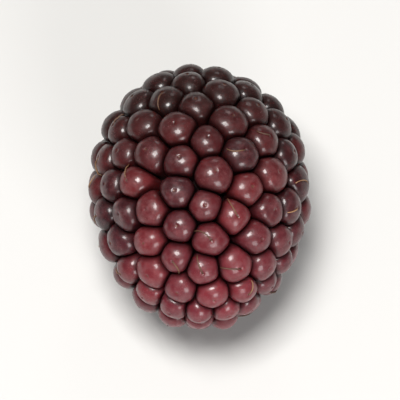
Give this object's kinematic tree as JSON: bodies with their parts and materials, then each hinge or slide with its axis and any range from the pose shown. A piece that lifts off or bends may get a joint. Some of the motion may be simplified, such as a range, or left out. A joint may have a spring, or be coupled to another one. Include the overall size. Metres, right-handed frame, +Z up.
{
  "type": "bramble berry",
  "caption": "Picked bramble berry lying on its side: small round drupelets crowded into an oval fruit, with a pale receptacle scar at the stem end.",
  "frame": {"origin": "on the surface that the berry lies on, under the middle of the berry's box", "axes": "+Z up, Y along the berry's long axis with the stem end and its scar towards -Y and the tip towards +Y, X across it"},
  "size_m": [0.0218, 0.0266, 0.0208],
  "materials": {
    "drupelet_skin": "thin glossy fruit skin, dark wine red to purple black, with a light bloom of frost",
    "receptacle_flesh": "pale peach plant flesh, dull and slightly fibrous"
  },
  "bodies": {
    "root": {"drupelets": "drupelet_skin", "receptacle": "receptacle_flesh"}
  },
  "joints": []
}
